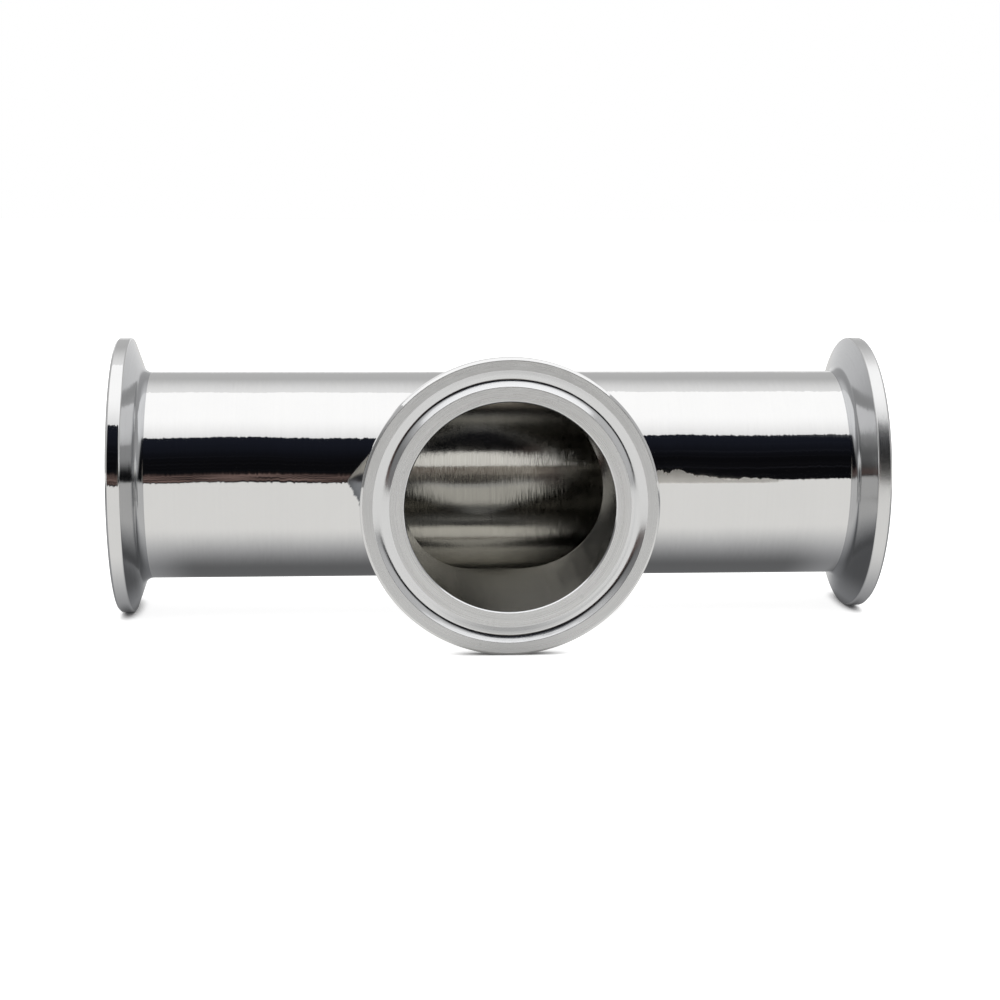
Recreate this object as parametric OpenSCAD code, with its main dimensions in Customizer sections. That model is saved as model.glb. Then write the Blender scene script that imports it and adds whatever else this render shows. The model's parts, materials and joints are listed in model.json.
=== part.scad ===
// Equal clamp tee for sanitary tubing: a run tube with a short pulled branch
// and three clamp ferrules, welded and polished into one piece.
// The run lies along X, the branch points to -Y, and Z is up.
// The origin is where the two axes cross.

/* [Overall] */
// Length over the two run faces
run_length = 138; // [90:1:240]
// Distance from the run axis to the branch face
branch_reach = 40; // [37:0.5:110]

/* [Tube] */
// Outside diameter of the tube
tube_od = 38; // [30:0.5:40]
// Wall thickness of the tube
tube_wall = 1.2; // [1:0.1:2]

/* [Clamp flange] */
// Outside diameter of the flange
flange_od = 50.5; // [48:0.5:64]
// Width of the rim at the edge of the flange
rim_width = 2.5; // [2:0.05:4]
// Rounding of the two edges of the rim
rim_edge = 0.4; // [0.1:0.05:0.6]
// Angle of the clamping taper on the back of the flange
taper_angle = 20; // [15:1:25]
// Radius where the taper runs into the neck
neck_fillet = 1.75; // [1:0.25:3]

/* [Gasket groove] */
// Distance from the edge of the flange to the middle of the groove
groove_inset = 3.5; // [3:0.1:3.8]
// Width of the groove at the face
groove_width = 2.7; // [2.4:0.1:3.2]
// Depth of the groove
groove_depth = 0.75; // [0.6:0.05:1]
// Radius of the rounded floor of the groove
groove_floor = 0.85; // [0.6:0.05:1]

/* [Branch saddle] */
// Radius of the outside blend at the crotch, level with the axes
crotch_blend = 8.4; // [5:0.2:10]
// Radius of the outside blend above and below the crotch
flank_blend = 3; // [2:0.25:5]
// Angle round the tube over which the crotch narrows to a V
crotch_spread = 24; // [15:1:40]
// Radius of the rounded edge where the two bores meet
bore_blend = 4; // [2:0.5:5]

/* [Hidden] */
$fn = 96;

half_run = run_length / 2;
tube_r = tube_od / 2;
bore_r = tube_r - tube_wall;
flange_r = flange_od / 2;

// The groove is a V with a round floor, and its flanks run tangent into the floor
groove_r = flange_r - groove_inset;
groove_half = groove_width / 2;
floor_middle = groove_depth - groove_floor;
flank_angle = atan2(floor_middle, groove_half) + asin(groove_floor / norm([groove_half, floor_middle]));

// How far the ends of a blend sink into the wall, so that it closes without a gap
blend_sink = 0.05;
// How far the buried edge of a blend lies behind the wall
blend_root = 2;
// A blend runs from just above the bottom to just below the top of the tube
blend_from = -85;
blend_to = 85;
blend_rows = 40;
blend_steps = 8;
blend_angles = [for (i = [0:blend_rows]) blend_from + (blend_to - blend_from) * i / blend_rows];
// How far a cutter reaches past the face that it opens
overcut = 1;

steel = [0.8, 0.8, 0.81];

// Profile of the rim and its taper: radius along X, face at Y = 0, body at -Y
module flange_profile() {
    taper_end = rim_width + (flange_r - tube_r) * tan(taper_angle);
    edge_back = rim_edge * tan(45 - taper_angle / 2);
    polygon([
        [0, 0],
        [flange_r - rim_edge, 0],
        [flange_r, -rim_edge],
        [flange_r, -(rim_width - edge_back)],
        [flange_r - edge_back * cos(taper_angle), -(rim_width + edge_back * sin(taper_angle))],
        [tube_r, -taper_end],
        [0, -taper_end],
    ]);
    translate([flange_r - rim_edge, -rim_edge]) circle(rim_edge);
    translate([flange_r - rim_edge, -(rim_width - edge_back)]) circle(rim_edge);
    neck_fillet_profile(taper_end);
}

// Fillet between the taper and the neck: a wedge with a round bite out of it
module neck_fillet_profile(corner) {
    tangent = neck_fillet * tan(45 - taper_angle / 2);
    difference() {
        polygon([
            [tube_r, -(corner + tangent)],
            [tube_r + tangent * cos(taper_angle), -(corner - tangent * sin(taper_angle))],
            [tube_r - tangent, -(corner - tangent)],
        ]);
        translate([tube_r + neck_fillet, -(corner + tangent)]) circle(neck_fillet);
    }
}

// Ring cut by the gasket groove, as a profile in the frame of flange_profile
module groove_profile() {
    touch = groove_floor * [sin(flank_angle), -cos(flank_angle)] - [0, floor_middle];
    translate([groove_r, 0]) {
        translate([0, -floor_middle]) circle(groove_floor);
        polygon([
            [-groove_half, overcut],
            [-groove_half, 0],
            [-touch.x, touch.y],
            [touch.x, touch.y],
            [groove_half, 0],
            [groove_half, overcut],
        ]);
    }
}

// Half profile of a ferrule end: tube of the given length with a flange at its face
module end_profile(length) {
    difference() {
        union() {
            translate([0, -length]) square([tube_r, length]);
            flange_profile();
        }
        groove_profile();
    }
}

// Turns a solid on the Z axis so that it lies along the run
module along_run() {
    rotate([0, 90, 0]) children();
}

// Turns a solid on the Z axis so that it lies along the branch
module along_branch() {
    rotate([90, 0, 0]) children();
}

// Solid run: two ferrule ends back to back
module run_solid() {
    along_run() rotate_extrude() {
        translate([0, half_run]) end_profile(half_run);
        mirror([0, 1]) translate([0, half_run]) end_profile(half_run);
    }
}

// Solid branch: one ferrule end that stands on the run axis
module branch_solid() {
    along_branch() rotate_extrude() translate([0, branch_reach]) end_profile(branch_reach);
}

// Radius of the outside blend at an angle round the tube
function outer_ball(a) = flank_blend + (crotch_blend - flank_blend) * max(0, 1 - abs(a) / crotch_spread);

// Middle of the ball that rolls in the corner between two crossed cylinders
function ball_centre(r, ball, a, side) = (r + ball - blend_sink) * [side * cos(a), -cos(a), sin(a)];

// Directions from the ball to the run and to the branch
function to_run(a) = [0, cos(a), -sin(a)];
function to_branch(a, side) = [-side * cos(a), 0, -sin(a)];

// Direction part of the way round the arc from the run to the branch
function on_arc(a, side, t) =
    let (whole = acos(sin(a) * sin(a)))
    (sin((1 - t) * whole) * to_run(a) + sin(t * whole) * to_branch(a, side)) / sin(whole);

// One section of a blend: the arc of the ball, closed by a point behind the wall
function blend_section(r, ball, a, side) = [
    for (i = [0:blend_steps]) ball_centre(r, ball, a, side) + ball * on_arc(a, side, i / blend_steps),
    (r - blend_root) * [side * cos(a), -cos(a), sin(a)],
];

// Rolling-ball blend in the corner between run and branch, on one side, with a ball for each angle
module saddle_side(r, balls, side) {
    count = blend_steps + 2;
    points = [for (i = [0:blend_rows]) each blend_section(r, balls[i], blend_angles[i], side)];
    walls = [
        for (i = [0:blend_rows - 1], j = [0:count - 1])
            let (a = i * count + j, b = i * count + (j + 1) % count)
            each [[a, b, b + count], [a, b + count, a + count]]
    ];
    first = [for (j = [count - 1:-1:0]) j];
    last = [for (j = [0:count - 1]) blend_rows * count + j];
    faces = concat(walls, [first, last]);
    polyhedron(points, side > 0 ? faces : [for (f = faces) [for (k = [len(f) - 1:-1:0]) f[k]]]);
}

// The blend on both sides of the branch
module saddle(r, balls) {
    saddle_side(r, balls, -1);
    saddle_side(r, balls, 1);
}

// Both bores with the rounded edge where they meet
module bores() {
    along_run() cylinder(h = run_length + 2 * overcut, r = bore_r, center = true);
    along_branch() cylinder(h = branch_reach + overcut, r = bore_r);
    saddle(bore_r, [for (a = blend_angles) bore_blend]);
}

module tee_body() {
    color(steel) difference() {
        union() {
            run_solid();
            branch_solid();
            saddle(tube_r, [for (a = blend_angles) outer_ball(a)]);
        }
        bores();
    }
}

tee_body();
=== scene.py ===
import json
import math

import bmesh
import bpy
from mathutils import Matrix, Vector


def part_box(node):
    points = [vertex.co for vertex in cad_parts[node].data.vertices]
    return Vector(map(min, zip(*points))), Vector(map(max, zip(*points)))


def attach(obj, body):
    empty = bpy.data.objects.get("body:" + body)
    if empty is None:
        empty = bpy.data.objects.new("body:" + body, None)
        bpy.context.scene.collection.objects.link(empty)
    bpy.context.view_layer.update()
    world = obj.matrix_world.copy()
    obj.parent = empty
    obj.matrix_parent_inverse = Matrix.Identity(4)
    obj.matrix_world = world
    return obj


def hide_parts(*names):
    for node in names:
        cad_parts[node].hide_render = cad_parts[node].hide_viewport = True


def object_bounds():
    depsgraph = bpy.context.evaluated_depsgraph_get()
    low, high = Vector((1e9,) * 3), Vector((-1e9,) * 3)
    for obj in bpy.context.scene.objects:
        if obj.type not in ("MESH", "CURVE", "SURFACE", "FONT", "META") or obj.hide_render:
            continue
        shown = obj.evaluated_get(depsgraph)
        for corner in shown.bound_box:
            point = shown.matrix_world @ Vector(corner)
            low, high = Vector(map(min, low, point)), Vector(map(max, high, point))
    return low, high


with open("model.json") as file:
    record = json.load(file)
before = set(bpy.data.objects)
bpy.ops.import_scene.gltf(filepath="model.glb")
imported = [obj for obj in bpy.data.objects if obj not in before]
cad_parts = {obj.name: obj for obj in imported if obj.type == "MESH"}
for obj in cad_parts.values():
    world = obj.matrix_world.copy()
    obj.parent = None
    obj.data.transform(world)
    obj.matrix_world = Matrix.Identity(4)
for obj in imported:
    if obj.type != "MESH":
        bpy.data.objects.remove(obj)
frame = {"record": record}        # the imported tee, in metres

cadLow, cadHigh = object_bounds()
scene = bpy.context.scene
scene.view_settings.view_transform = "Standard"
mm = 0.001
mounts = {mount["name"]: mount for mount in frame["record"]["mounts"]}
teeLow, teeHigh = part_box("tee_body")
print("frame loaded")


# shader helpers
class Wire:     # one value in a shader, usable in sums
    def __init__(self, board, socket):
        self.board = board
        self.socket = socket

    def __add__(self, other):
        return self.board.math("ADD", self, other)

    def __radd__(self, other):
        return self.board.math("ADD", other, self)

    def __sub__(self, other):
        return self.board.math("SUBTRACT", self, other)

    def __rsub__(self, other):
        return self.board.math("SUBTRACT", other, self)

    def __mul__(self, other):
        return self.board.math("MULTIPLY", self, other)

    def __rmul__(self, other):
        return self.board.math("MULTIPLY", other, self)

    def __abs__(self):
        return self.board.math("ABSOLUTE", self)


class Board:    # the node tree of one material or of the world
    def __init__(self, owner):
        owner.use_nodes = True
        self.tree = owner.node_tree
        self.tree.nodes.clear()

    def node(self, kind, settings=None, sockets=None, output=0):
        made = self.tree.nodes.new("ShaderNode" + kind)
        for key, value in (settings or {}).items():
            setattr(made, key, value)
        for key, value in (sockets or {}).items():
            if isinstance(value, Wire):
                self.tree.links.new(value.socket, made.inputs[key])
            else:
                made.inputs[key].default_value = value
        return Wire(self, made.outputs[output]) if len(made.outputs) else made

    def math(self, operation, *parts):
        return self.node("Math", {"operation": operation}, dict(enumerate(parts)))

    def vector(self, operation, *parts):
        return self.node("VectorMath", {"operation": operation}, dict(enumerate(parts)))

    def scaled(self, vector, factor):
        return self.node("VectorMath", {"operation": "SCALE"}, {0: vector, "Scale": factor})

    def split(self, vector):
        return [self.node("SeparateXYZ", None, {0: vector}, output) for output in range(3)]

    def join(self, x, y, z):
        return self.node("CombineXYZ", None, {0: x, 1: y, 2: z})

    def noise(self, vector, scale, detail=2.0, roughness=0.5):
        sockets = {"Vector": vector, "Scale": scale, "Detail": detail, "Roughness": roughness}
        return self.node("TexNoise", None, sockets)

    def ramp(self, value, low, high, start=0.0, end=1.0):    # smooth step between two values
        sockets = {"Value": value, "From Min": low, "From Max": high, "To Min": start, "To Max": end}
        return self.node("MapRange", {"interpolation_type": "SMOOTHSTEP"}, sockets)

    def tint(self, factor, first, second):   # a mix of two colours
        return self.node("Mix", {"data_type": "RGBA"}, {0: factor, 6: first, 7: second}, 2)


def between(share, ends):    # a value part of the way from one end to the other
    return ends[0] + share * (ends[1] - ends[0])


def solid(colour, factor=1):     # a colour as a shader takes it
    return (*[part * factor for part in colour], 1)


# the tee: ferrule profile, spun into ends, joined by saddle blends
tee = {
    "halfRun": teeHigh.x,
    "reach": -teeLow.y,
    "flangeRadius": -teeLow.z,
    "boreRadius": mounts["run_bore"]["dims"]["r_mm"] * mm,
    "tubeRadius": 19 * mm,
    "rimWidth": 2.5 * mm,
    "rimEdge": 0.4 * mm,         # rounding at the back of the rim
    "rimBevel": 0.42 * mm,       # and the bevel at its front
    "rimSoft": 0.12 * mm,
    "taper": 20,                 # degrees
    "neckFillet": 1.75 * mm,
    "grooveInset": 3.5 * mm,
    "grooveWidth": 2.7 * mm,
    "grooveDepth": 0.75 * mm,
    "grooveFlank": 40,           # degrees, where the flanks would end up straight
    "grooveShare": 0.99,         # of the flanks, before the lips take over
    "grooveLip": 0.12 * mm,
    "boreBevel": 0.22 * mm,
    "boreSoft": 0.06 * mm,
    "crotchBlend": 8.4 * mm,     # radius of the outside blend, level with the axes
    "flankBlend": 3 * mm,        # and above and below the crotch
    "crotchSpread": 24,          # degrees over which it narrows
    "crotchRise": 5,             # degrees by which the hand-ground V sits high
    "boreBlend": 4 * mm,         # radius where the bores meet
    "rows": 96,                  # steps in half a turn
    "saddleCuts": 27,            # cuts across a saddle blend
    "barrelSteps": 12,           # steps along a tube or bore
    "barrelFrom": 20 * mm,       # a stretch this long is a tube or bore
    "flatSteps": 3,              # steps along a shorter one
    "grooveSteps": 20,
    "boreSteps": 3,              # steps in the small roundings
    "lipSteps": 4,
    "rearSteps": 5,
    "neckSteps": 12,
    "guard": 0.12 * mm,          # loops that hold a corner crisp
    "guardRoom": 4,              # guards that a stretch must be longer than
    "weld": 3e-6,
    "sliver": 1e-8,
}
zones = ["bore", "face", "groove", "rim", "taper", "tube"]


def arcPoints(axial, radius, size, start, end, steps):
    turns = [math.radians(start + (end - start) * i / steps) for i in range(steps + 1)]
    return [(axial + size * math.cos(turn), radius + size * math.sin(turn)) for turn in turns]


def grooveCurve(t, middle, steps):     # a V whose flanks bend softly into the floor
    half, depth = t["grooveWidth"] / 2, t["grooveDepth"]
    pull = math.tan(math.radians(t["grooveFlank"]))
    soft = ((pull * half) ** 2 - depth ** 2) / (2 * depth)
    flank = math.atan(pull * pull * half / math.hypot(pull * half, soft))
    points = []
    for i in range(steps + 1):
        slope = math.tan(flank * t["grooveShare"] * (2 * i / steps - 1))
        out = soft * slope / (pull * math.sqrt(pull * pull - slope * slope))
        points.append((depth + soft - math.hypot(pull * out, soft), middle + out))
    return points, flank


def ferruleProfile(t, length):     # (depth behind the face, radius) from the bore to the tube
    edge, lip, wall = t["rimEdge"], t["grooveLip"], t["tubeRadius"]
    flange, bore, neck = t["flangeRadius"], t["boreRadius"], t["neckFillet"]
    grooveRadius, half = flange - t["grooveInset"], t["grooveWidth"] / 2
    groove, flank = grooveCurve(t, grooveRadius, t["grooveSteps"])
    lipOut = half + lip * math.tan(flank / 2)
    lipTurn = math.degrees(flank)
    eighth = math.tan(math.radians(22.5))
    boreSoft, soft = t["boreSoft"], t["rimSoft"]
    boreOut = t["boreBevel"] + boreSoft * eighth
    softOut = t["rimBevel"] + soft * eighth
    lean = math.tan(math.radians(45 - t["taper"] / 2))
    rear = t["rimWidth"] - edge * lean
    corner = t["rimWidth"] + (flange - wall) * math.tan(math.radians(t["taper"]))
    fillet = arcPoints(corner + neck * lean, wall + neck, neck, 180 + t["taper"], 270, t["neckSteps"])
    lips, small = t["lipSteps"], t["boreSteps"]
    pieces = [     # finish of the stretch before, finish of the corner, points of the corner
        ("bore", "bore", [(length, bore)]),
        ("bore", "groove", arcPoints(boreOut, bore + boreSoft, boreSoft, 270, 225, small)),
        ("groove", "groove", arcPoints(boreSoft, bore + boreOut, boreSoft, 225, 180, small)),
        ("face", "groove", arcPoints(lip, grooveRadius - lipOut, lip, 180, 180 - lipTurn, lips)),
        ("groove", "groove", groove),
        ("groove", "groove", arcPoints(lip, grooveRadius + lipOut, lip, lipTurn - 180, -180, lips)),
        ("face", "face", arcPoints(soft, flange - softOut, soft, 180, 135, lips)),
        ("rim", "rim", arcPoints(softOut, flange - soft, soft, 135, 90, lips)),
        ("rim", "rim", arcPoints(rear, flange - edge, edge, 90, t["taper"], t["rearSteps"])),
        ("taper", "taper", fillet),
        ("tube", "tube", [(length, wall)]),
    ]
    points, spanZones = [], []
    for before, zone, corners in pieces:
        if points:
            last, first = Vector(points[-1]), Vector(corners[0])
            gap = (first - last).length
            joins = []
            if gap > t["guardRoom"] * t["guard"]:
                steps = t["barrelSteps"] if gap > t["barrelFrom"] else t["flatSteps"]
                hold = t["guard"] / gap
                shares = [hold, *[i / steps for i in range(1, steps)], 1 - hold]
                joins = [tuple(last.lerp(first, share)) for share in shares]
            spanZones += [before] * (len(joins) + 1)
            points += joins
        spanZones += [zone] * (len(corners) - 1)
        points += corners
    return points, spanZones + ["tube"]


def blendBall(t, lean):     # radius of the outside blend at a height round the tube
    turn = math.degrees(math.asin(lean)) - t["crotchRise"]
    return between(max(0, 1 - abs(turn) / t["crotchSpread"]), (t["flankBlend"], t["crotchBlend"]))


def boreBall(t, lean):      # radius of the rounded edge where the bores meet, the same all round
    return t["boreBlend"]


def spinEnd(mesh, points, place, axis, turn):    # one half turn of a ferrule end
    known = set(mesh.verts)
    station = mesh.verts.layers.int["station"]
    chain = [mesh.verts.new(place(*point)) for point in points]
    for i, vert in enumerate(chain):
        vert[station] = i
    edges = [mesh.edges.new(pair) for pair in zip(chain, chain[1:])]
    bmesh.ops.spin(mesh, geom=chain + edges, axis=axis, angle=turn, steps=tee["rows"])
    return [vert for vert in mesh.verts if vert not in known]


def leanOf(vert, radius):
    return max(-1.0, min(1.0, vert.co.z / radius))


def fitToSaddle(mesh, verts, along, across, fixed):   # draws the inner ends back to the blend's edge
    station = mesh.verts.layers.int["station"]
    for stations, radius, ball, start in fixed:
        for vert in verts:
            if stations[0] <= vert[station] <= stations[1]:
                target = (radius + ball(tee, leanOf(vert, radius))) * vert.co[across] / radius
                vert.co[along] = start + (vert.co[along] - start) * (target - start) / -start


def rollSaddle(mesh, wanted, radius, ball):    # bridges run and branch with a rolling-ball blend
    station = mesh.verts.layers.int["station"]
    saddled = mesh.verts.layers.int["saddled"]
    ends = {vert for vert in mesh.verts if vert[station] == wanted and vert[saddled]}
    edges = [edge for edge in mesh.edges if ends.issuperset(edge.verts)]
    bridge = bmesh.ops.bridge_loops(mesh, edges=edges)
    count = len(mesh.verts)
    bmesh.ops.subdivide_edges(mesh, edges=bridge["edges"], cuts=tee["saddleCuts"], use_grid_fill=True)
    mesh.verts.ensure_lookup_table()
    for vert in mesh.verts[count:]:
        lean = leanOf(vert, radius)
        out = math.sqrt(1 - lean * lean)
        size = ball(tee, lean)
        middle = (radius + size) * Vector((-out, -out, lean))
        vert.co = middle + size * (vert.co - middle).normalized()


def buildTee(t):
    mesh = bmesh.new()
    station = mesh.verts.layers.int.new("station")
    saddled = mesh.verts.layers.int.new("saddled")
    onBranch = mesh.verts.layers.float.new("onBranch")
    runPoints, spanZones = ferruleProfile(t, t["halfRun"])
    branchPoints, _ = ferruleProfile(t, t["reach"])

    def runPlace(depth, radius):
        return depth - t["halfRun"], 0, -radius

    def branchPlace(depth, radius):
        return 0, depth - t["reach"], -radius

    spinEnd(mesh, runPoints, runPlace, (1, 0, 0), math.pi)
    front = spinEnd(mesh, runPoints, runPlace, (1, 0, 0), -math.pi)
    branch = spinEnd(mesh, branchPoints, branchPlace, (0, 1, 0), math.pi)
    for vert in branch:
        vert[onBranch] = 1
    for vert in front + branch:
        vert[saddled] = 1
    boreStop = t["barrelSteps"] + 1
    tubeStart = len(runPoints) - 1 - boreStop
    for verts, along, across, points in ((front, 0, 1, runPoints), (branch, 1, 0, branchPoints)):
        offset = points[0][0]
        fixed = [
            ((0, boreStop), t["boreRadius"], boreBall, points[boreStop][0] - offset),
            ((tubeStart, len(points)), t["tubeRadius"], blendBall, points[tubeStart][0] - offset),
        ]
        fitToSaddle(mesh, verts, along, across, fixed)
    rollSaddle(mesh, len(runPoints) - 1, t["tubeRadius"], blendBall)
    rollSaddle(mesh, 0, t["boreRadius"], boreBall)
    bmesh.ops.remove_doubles(mesh, verts=mesh.verts, dist=t["weld"])
    bmesh.ops.dissolve_degenerate(mesh, edges=mesh.edges, dist=t["sliver"])
    half = mesh.verts[:] + mesh.edges[:] + mesh.faces[:]
    bmesh.ops.mirror(mesh, geom=half, axis="X", merge_dist=t["weld"])
    bmesh.ops.remove_doubles(mesh, verts=mesh.verts, dist=t["weld"])
    bmesh.ops.recalc_face_normals(mesh, faces=mesh.faces)
    for face in mesh.faces:
        face.smooth = True
        face.material_index = zones.index(spanZones[min(vert[station] for vert in face.verts)])
    loose = [edge for edge in mesh.edges if len(edge.link_faces) != 2]
    print("tee mesh", len(mesh.faces), "faces", len(loose), "open edges", "volume", mesh.calc_volume())
    data = bpy.data.meshes.new("clampTee")
    mesh.to_mesh(data)
    mesh.free()
    return data


# finishes: one steel, worked six ways
# swing and comb: slow and fine waviness round the axis, rake: scratches that spread light along it
# lines: turned rings, darkest: share of the colour that is left in the darkest places
finishes = {
    "tube": {"colour": (0.81, 0.808, 0.805), "roughness": 0.04, "swing": 0.035, "comb": 0.022, "rake": 0.0,
             "lines": 0.35, "darkest": 0.94},
    "rim": {"colour": (0.80, 0.80, 0.80), "roughness": 0.05, "swing": 0.015, "comb": 0.02, "rake": 0.05,
            "lines": 0.2, "darkest": 0.9},
    # the taper's colour is darker than the rest of the steel as painted shade
    "taper": {"colour": (0.53, 0.535, 0.545), "roughness": 0.12, "swing": 0.01, "comb": 0.02, "rake": 0.06,
              "lines": 0.6, "darkest": 0.85},
    "face": {"colour": (0.88, 0.883, 0.885), "roughness": 0.3, "swing": 0.01, "comb": 0.01, "rake": 0.1,
             "lines": 2.0, "darkest": 0.66},
    "groove": {"colour": (0.82, 0.825, 0.835), "roughness": 0.16, "swing": 0.01, "comb": 0.012, "rake": 0.04,
               "lines": 0.3, "darkest": 0.92},
    "bore": {"colour": (0.74, 0.727, 0.685), "roughness": 0.1, "swing": 0.015, "comb": 0.01, "rake": 0.17,
             "lines": 0.9, "darkest": 0.75},
}
marks = {      # pitch along the axis and round it, per metre, then detail and roughness of the noise
    "swing": (45, 40, 2.0, 0.5),
    "comb": (2300, 330, 2.0, 0.6),
    "rake": (40000, 400, 1.0, 0.5),
    "lines": (3000, 30, 3.0, 0.7),
}
clouds = {     # slow changes of the polish
    "noise": (160.0, 3.0, 0.55),
    "rough": (0.7, 1.3),
    "shade": (0.2, 0.8),
    "lineShade": 1.4,
}
boreHoneAndShade = {       # the bores, with painted shade in the branch and at the bottom of the run
    "side": (3 * mm, 14 * mm),       # from the middle of the branch to its sides
    "middleShade": (0.36, 0.364, 0.37),
    "sideColour": (0.24, 0.243, 0.25),
    "branch": 0.95,
    "roof": (4 * mm, 12 * mm),       # heights over which the branch's painted shade lightens
    "mouth": (-34 * mm, -28 * mm),   # apart from its mouth
    "roofShadeLift": 0.6,
    "low": (-12.5 * mm, -15.5 * mm),
    "lowDull": 0.45,
    "crease": (-15.2 * mm, -16.6 * mm),
    "creaseRough": 0.13,
    "grain": (5200.0, 2.0, 0.6),
    "grainTilt": 0.045,
}
land = {       # the turned faces, duller outside the groove, with a few pits
    "outer": (22 * mm, 23 * mm),
    "outerDull": 0.35,
    "pits": (700.0, 0.0),
    "pitEdge": (0.79, 0.81),
    "pitDull": 0.5,
    "colour": (0.62, 0.625, 0.63),
}
scuff = {      # the right rim has lost some of its polish
    "edge": (60 * mm, 64 * mm),
    "roughness": 0.2,
    "grain": (5200.0, 2.0, 0.5),
    "grainTilt": 0.08,
}
ground = {     # the crotch, ground to a V beside the branch, in two strokes that meet in a ridge
    "front": (8 * mm, 10 * mm),
    "apex": 27.6 * mm,
    "rise": 1.7 * mm,
    "ridge": 0.4,
    "ridgeSoft": 0.4 * mm,
    "slopes": (0.85, 0.5),           # above the ridge and below it, as in the next three
    "ragged": (0.3 * mm, 1.5 * mm),
    "rough": (0.45, 0.28),
    "colours": ((0.86, 0.83, 0.75), (0.25, 0.26, 0.28)),
    "soft": 0.5 * mm,
    "fade": (9.5 * mm, 3 * mm),      # heights over which the patch fades out
    "hatch": (900, 160, 200),
    "hatchNoise": (1.0, 2.0, 0.6),
    "hatchTilt": 0.25,
}
scar = {       # a ragged satin streak that runs out of the right crotch
    "from": 23 * mm,
    "to": 46 * mm,
    "lead": 2 * mm,
    "tail": 6 * mm,
    "base": 1.1 * mm,
    "baseSoft": 0.5 * mm,
    "heights": (2.4 * mm, 0.6 * mm),
    "edge": (-0.05 * mm, 0.12 * mm),
    "ragged": (260, 120),
    "raggedNoise": (1.0, 4.0, 0.6),
    "raggedEdge": (0.3, 0.7),
    "raggedHeight": (0.25, 1.35),
    "roughness": 0.34,
    "colour": (0.84, 0.825, 0.79),
}


def shadeAndHoneBore(board, at, steel):
    run = 1 - at["branch"]
    sides = board.ramp(abs(at["x"]), *boreHoneAndShade["side"])
    # painted shade: the bore colour goes darker in the branch, towards its sides and at the bottom of the
    # run, and lighter high in the branch
    boreShade = board.tint(sides, solid(boreHoneAndShade["middleShade"]), solid(boreHoneAndShade["sideColour"]))
    low = board.ramp(at["z"], *boreHoneAndShade["low"]) * run
    steel["colour"] = board.tint(low * boreHoneAndShade["lowDull"], steel["colour"], boreShade)
    roof = board.ramp(at["z"], *boreHoneAndShade["roof"]) * board.ramp(at["y"], *boreHoneAndShade["mouth"])
    share = at["branch"] * (boreHoneAndShade["branch"] - boreHoneAndShade["roofShadeLift"] * roof)
    steel["colour"] = board.tint(share, steel["colour"], boreShade)
    steel["roughness"] = steel["roughness"] + board.ramp(at["z"], *boreHoneAndShade["crease"]) * boreHoneAndShade["creaseRough"]
    grain = board.noise(at["place"], *boreHoneAndShade["grain"]) - 0.5
    steel["tilt"] = steel["tilt"] + grain * run * boreHoneAndShade["grainTilt"]


def pitFace(board, at, steel):
    outer = board.ramp(at["radius"], *land["outer"])
    pit = board.ramp(board.noise(at["place"], *land["pits"]), *land["pitEdge"])
    share = outer * land["outerDull"] + pit * land["pitDull"]
    steel["colour"] = board.tint(share, steel["colour"], solid(land["colour"]))


def scuffRim(board, at, steel):
    worn = board.ramp(at["x"], *scuff["edge"])
    speckle = board.noise(at["place"], *scuff["grain"]) - 0.5
    steel["roughness"] = steel["roughness"] + worn * scuff["roughness"]
    steel["tilt"] = steel["tilt"] + worn * speckle * scuff["grainTilt"]


def grindCrotch(board, at, steel):
    x, y, z = at["x"], at["y"], at["z"]
    front = board.ramp(0 - y, *ground["front"])
    near = board.math("MAXIMUM", abs(x), 0 - y)
    above = z - ground["rise"] - (ground["apex"] - near) * ground["ridge"]
    below = board.ramp(0 - above, -ground["ridgeSoft"], ground["ridgeSoft"])
    height = abs(z - ground["rise"])
    along, across, deep = ground["hatch"]
    spot = board.join((near + z) * along, (near - z) * across, y * deep)
    hatch = board.noise(spot, *ground["hatchNoise"])
    edge = ground["apex"] - near - height * between(below, ground["slopes"])
    edge = edge + (hatch - 0.5) * between(below, ground["ragged"])
    worked = board.ramp(edge, 0.0, ground["soft"]) * front * board.ramp(height, *ground["fade"])
    # painted light: the slope above the ridge gets a pale colour as a painted highlight, the slope below a
    # dark colour as painted shade
    satinLitAndShaded = board.tint(below, *[solid(colour) for colour in ground["colours"]])
    steel["roughness"] = steel["roughness"] + worked * between(below, ground["rough"]) * (0.5 + hatch)
    steel["colour"] = board.tint(worked, steel["colour"], satinLitAndShaded)
    steel["tilt"] = steel["tilt"] + worked * (hatch - 0.5) * ground["hatchTilt"]

    across, up = scar["ragged"]
    teeth = board.noise(board.join(x * across, z * up, 0.0), *scar["raggedNoise"])
    teeth = between(board.ramp(teeth, *scar["raggedEdge"]), scar["raggedHeight"])
    top = scar["base"] + board.ramp(x, scar["from"], scar["to"], *scar["heights"]) * teeth
    streak = board.ramp(top - z, *scar["edge"]) * front
    streak = streak * board.ramp(z, scar["base"] - scar["baseSoft"], scar["base"])
    streak = streak * board.ramp(x, scar["from"], scar["from"] + scar["lead"])
    streak = streak * board.ramp(x, scar["to"] + scar["tail"], scar["to"])
    steel["roughness"] = steel["roughness"] + streak * scar["roughness"] * (0.5 + hatch)
    steel["colour"] = board.tint(streak, steel["colour"], solid(scar["colour"]))


handwork = {"bore": shadeAndHoneBore, "face": pitFace, "rim": scuffRim, "tube": grindCrotch}


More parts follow.
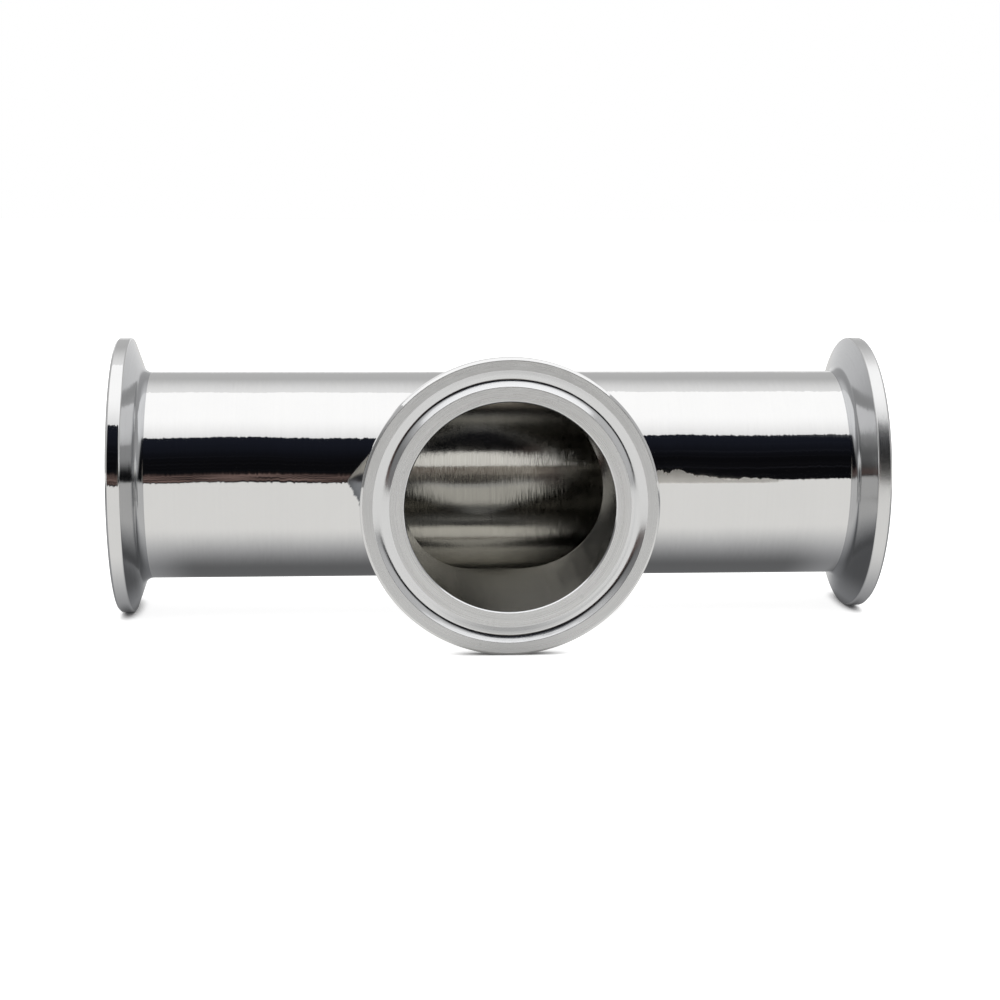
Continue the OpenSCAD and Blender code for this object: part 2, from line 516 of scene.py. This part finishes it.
def steelFinish(name, look):
    material = bpy.data.materials.new(name + "Steel")
    board = Board(material)
    place = board.node("TexCoord", output="Object")
    x, y, z = board.split(place)
    branch = board.node("Attribute", {"attribute_name": "onBranch"}, output="Fac")
    axial = x + (y - x) * branch
    across = y + (x - y) * branch
    radius = board.math("SQRT", across * across + z * z)

    def toolMarks(key, start):     # noise that is drawn out round the axis
        along, about, detail, roughness = marks[key]
        spot = board.join(start * along, across * about, z * about)
        return (board.noise(spot, 1.0, detail, roughness) - 0.5) * look[key]

    reach = axial + radius
    lines = toolMarks("lines", reach)
    patch = board.noise(place, *clouds["noise"])
    shade = between(patch, clouds["shade"]) + lines * clouds["lineShade"]
    steel = {
        "colour": board.tint(shade, solid(look["colour"], look["darkest"]), solid(look["colour"])),
        "roughness": look["roughness"] * (between(patch, clouds["rough"]) + lines),
        "tilt": 2 * (toolMarks("swing", axial) + toolMarks("comb", reach)),
    }
    if name in handwork:
        at = {"place": place, "x": x, "y": y, "z": z, "branch": branch, "radius": radius}
        handwork[name](board, at, steel)
    normal = board.node("NewGeometry", output="Normal")
    axis = board.join(1 - branch, branch, 0.0)
    spoke = board.join(x * branch, y * (1 - branch), z)
    hoop = board.vector("NORMALIZE", board.vector("CROSS_PRODUCT", axis, spoke))
    ruling = board.vector("CROSS_PRODUCT", hoop, normal)
    turned = board.vector("ADD", normal, board.scaled(hoop, steel["tilt"]))
    turned = board.vector("ADD", turned, board.scaled(ruling, 2 * toolMarks("rake", reach)))
    facing = board.vector("NORMALIZE", turned)
    sockets = {
        "Base Color": steel["colour"],
        "Metallic": 1.0,
        "Roughness": steel["roughness"],
        "Normal": facing,
    }
    shader = board.node("BsdfPrincipled", None, sockets)
    board.node("OutputMaterial", None, {"Surface": shader})
    return material


teeData = buildTee(tee)
for zone in zones:
    teeData.materials.append(steelFinish(zone, finishes[zone]))
clampTee = bpy.data.objects.new("clampTee", teeData)
scene.collection.objects.link(clampTee)
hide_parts("tee_body")
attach(clampTee, "root")
print("tee built")


# stage: white floor, soft box overhead, pale walls and a dark room where the camera stands
white = (1, 1, 1, 1)
floorSheet = {
    "side": 3.0,
    "colour": (0.8, 0.8, 0.8, 1),
    "glow": 0.86,                    # added for the camera alone
    "farGlow": 0.4,                  # and more of it far from the tee
    "far": (0.12, 0.5),
    "contact": 2.5 * mm,             # how far the darkest shadow spreads
    "touch": (0.1, 0.85),
    "touchShine": (0.3, 1.0),
    # painted reflection: to glossy rays the floor is a glow, with painted shade under the run, near the
    # branch face and at contacts
    "shine": 0.82,                   # how bright the open floor looks in the steel
    "shade": 0.13,                   # and the floor under the run
    "shadeEdge": (5 * mm, 32 * mm),
    "paintedEndLight": 0.13,                # painted light under the run towards its ends
    "ends": (55 * mm, 65 * mm),
    "front": (3 * mm, 20 * mm),      # shade close to the branch face
    "frontShade": 0.7,
    "paper": (1.0, 0.992, 0.97, 1),          # warm white, and cooler in the shade
    "paperShade": (0.985, 0.995, 1.02, 1),
}
softBox = {
    "height": 0.5,
    "front": -0.44,
    "back": 0.18,
    "width": 1.2,
    "radiance": 1.22,
    "fade": (-0.54, -0.14),          # dimmer towards its front
    "frontShare": 0.72,
}
studio = {     # seen in the steel by direction: x to the right, y to the back, z up
    "walls": 0.52,
    "ceiling": 0.45,
    "ceilingEdge": (0.6, 1.0),
    "horizon": 0.34,                 # added low down behind the tee
    "horizonBack": (0.6, 0.85),
    "horizonTop": (0.3, 0.14),
    "leftWall": 0.2,
    "leftSide": (0.4, 0.65),
    "leftTop": (0.6, 0.3),
    "leftFront": (-0.2, 0.1),
    "room": (0.0035, 0.0036, 0.0045),
    "roomFront": (0.0, 0.2),
    "roomEdge": (1.05, 0.85),
    "roomLean": 0.9,
    "streaks": (2, 40),              # faint level lines in the room
    "streakEdge": (0.5, 0.8),
    "streakLight": 5,
    "haze": (0.010, 0.0115, 0.018),          # of the room, higher up
    "hazeEdge": (0.35, 0.75),
    "skirting": (0.19, 0.13, 0.115),         # a worn brown strip, low on the left
    "skirtingTop": (0.19, 0.1),
    "skirtingFoot": (0.0, 0.03),
    "skirtingEnd": (0.06, -0.04),
    "skirtingGrain": (30, 34),
    "skirtingWorn": (0.38, 0.58),
    "shelf": (0.62, 0.59, 0.54),             # a pale thing far behind the camera, on the right
    "shelfShade": (0.35, 0.325, 0.29),
    "shelfTurn": (0.115, 0.135),
    "shelfCorner": 0.192,
    "shelfSlope": 2.9,
    "shelfEdge": (0.01, -0.01),
    "shelfSide": (0.02, 0.08),
}


def flatSheet(name, low, high, height):
    mesh = bmesh.new()
    middle = ((low[0] + high[0]) / 2, (low[1] + high[1]) / 2, height)
    bmesh.ops.create_grid(mesh, x_segments=1, y_segments=1, size=0.5)
    bmesh.ops.scale(mesh, vec=(high[0] - low[0], high[1] - low[1], 1), verts=mesh.verts)
    bmesh.ops.translate(mesh, vec=middle, verts=mesh.verts)
    data = bpy.data.meshes.new(name)
    mesh.to_mesh(data)
    mesh.free()
    sheet = bpy.data.objects.new(name, data)
    scene.collection.objects.link(sheet)
    return sheet


def layFloor(s):
    side = s["side"]
    floor = flatSheet("floor", (-side, -side), (side, side), cadLow.z)
    material = bpy.data.materials.new("whiteFloor")
    board = Board(material)
    seen = board.node("LightPath", output="Is Camera Ray")
    mirrored = board.node("LightPath", output="Is Glossy Ray")
    # painted contact shadow: ambient occlusion darkens the glow that the camera and the steel see
    touch = board.node("AmbientOcclusion", {"samples": 8}, {"Distance": s["contact"]}, "AO")
    touch = board.ramp(touch, *s["touch"])
    x, y, _ = board.split(board.node("TexCoord", output="Object"))
    far = board.ramp(board.math("SQRT", x * x + y * y), *s["far"])
    glow = seen * touch * (s["glow"] + far * s["farGlow"])
    paint = board.node("BsdfDiffuse", None, {"Color": s["colour"]})
    light = board.node("Emission", None, {"Color": white, "Strength": glow})
    plain = board.node("AddShader", None, {0: paint, 1: light})
    # painted shade for glossy rays: darker under the run and near the branch face, lighter towards the run's
    # ends
    clear = board.ramp(abs(y), *s["shadeEdge"])
    ahead = y - cadLow.y
    dim = board.ramp(board.math("SQRT", x * x + ahead * ahead), *s["front"], s["frontShade"], 1.0)
    shade = s["shade"] + board.ramp(abs(x), *s["ends"]) * s["paintedEndLight"]
    shine = (shade + clear * (s["shine"] - shade)) * between(touch, s["touchShine"]) * dim
    paper = board.tint(clear, s["paperShade"], s["paper"])
    mirror = board.node("Emission", None, {"Color": paper, "Strength": shine})
    surface = board.node("MixShader", None, {0: mirrored, 1: plain, 2: mirror})
    board.node("OutputMaterial", None, {"Surface": surface})
    floor.data.materials.append(material)


def hangSoftBox(s):
    half = s["width"] / 2
    sheet = flatSheet("softBox", (-half, s["front"]), (half, s["back"]), s["height"])
    material = bpy.data.materials.new("softBoxCloth")
    board = Board(material)
    y = board.split(board.node("TexCoord", output="Object"))[1]
    strength = s["radiance"] * board.ramp(y, *s["fade"], s["frontShare"], 1.0)
    light = board.node("Emission", None, {"Color": white, "Strength": strength})
    board.node("OutputMaterial", None, {"Surface": light})
    sheet.data.materials.append(material)


def paintRoom(board, s, x, z):     # the dark room in front, with what stands in it
    along, up = s["streaks"]
    streak = board.ramp(board.noise(board.join(x * along, 0.0, z * up), 1.0, 3.0, 0.6), *s["streakEdge"])
    dark = board.tint(streak, solid(s["room"]), solid(s["room"], s["streakLight"]))
    dark = board.tint(board.ramp(z, *s["hazeEdge"]), dark, solid(s["haze"]))
    low = board.ramp(z, *s["skirtingTop"]) * board.ramp(z, *s["skirtingFoot"])
    low = low * board.ramp(x, *s["skirtingEnd"])
    along, up = s["skirtingGrain"]
    grain = board.noise(board.join(x * along, 0.0, z * up), 1.0, 2.0, 0.6)
    dark = board.tint(low * board.ramp(grain, *s["skirtingWorn"]), dark, solid(s["skirting"]))
    under = z - (s["shelfCorner"] - x) * s["shelfSlope"]
    shelf = board.ramp(under, *s["shelfEdge"]) * board.ramp(x, *s["shelfSide"])
    plank = board.tint(board.ramp(x, *s["shelfTurn"]), solid(s["shelfShade"]), solid(s["shelf"]))
    return board.tint(shelf, dark, plank)


def paintWorld(s):
    world = bpy.data.worlds.new("studio")
    scene.world = world
    board = Board(world)
    x, y, z = board.split(board.node("TexCoord", output="Generated"))
    pale = s["walls"] + board.ramp(z, *s["ceilingEdge"]) * s["ceiling"]
    pale = pale + board.ramp(y, *s["horizonBack"]) * board.ramp(abs(z), *s["horizonTop"]) * s["horizon"]
    left = board.ramp(0 - x, *s["leftSide"]) * board.ramp(z, *s["leftTop"])
    left = left * board.ramp(0 - y, *s["leftFront"])
    pale = pale + (s["leftWall"] - pale) * left
    gap = board.ramp(0 - y, *s["roomFront"]) * board.ramp(abs(x) + s["roomLean"] * z, *s["roomEdge"])
    colour = board.tint(gap, board.join(pale, pale, pale), paintRoom(board, s, x, z))
    seen = board.node("LightPath", output="Is Camera Ray")
    colour = board.tint(seen, colour, white)
    light = board.node("Background", None, {"Color": colour, "Strength": 1.0})
    board.node("OutputWorld", None, {"Surface": light})


layFloor(floorSheet)
hangSoftBox(softBox)
paintWorld(studio)
print("stage set")


# camera: where the photograph was taken from
view = {
    "lens": 72.454,
    "sensor": 36,
    "clip": 0.01,
    "distance": 0.376208,
    "height": 8.483,         # degrees, as in the next four
    "side": 4.0997,
    "roll": 0.3121,
    "pan": 0.1719,
    "tilt": -0.7659,
}


def setCamera(v):
    height, side, roll = (math.radians(v[key]) for key in ("height", "side", "roll"))
    pan, tilt = (math.tan(math.radians(v[key])) for key in ("pan", "tilt"))
    flat = math.cos(height)
    place = v["distance"] * Vector((-flat * math.sin(side), -flat * math.cos(side), math.sin(height)))
    ahead = -place.normalized()
    right = ahead.cross(Vector((0, 0, 1))).normalized()
    up = right.cross(ahead)
    ahead = (ahead + pan * right + tilt * up).normalized()
    right = ahead.cross(up).normalized()
    up = right.cross(ahead)
    across = math.cos(roll) * right + math.sin(roll) * up
    upright = math.cos(roll) * up - math.sin(roll) * right
    lens = bpy.data.cameras.new("camera")
    lens.lens = v["lens"]
    lens.sensor_width = v["sensor"]
    lens.clip_start = v["clip"]
    camera = bpy.data.objects.new("camera", lens)
    camera.matrix_world = Matrix((across, upright, -ahead)).transposed().to_4x4()
    camera.location = place
    scene.collection.objects.link(camera)
    scene.camera = camera


setCamera(view)
print("camera set")
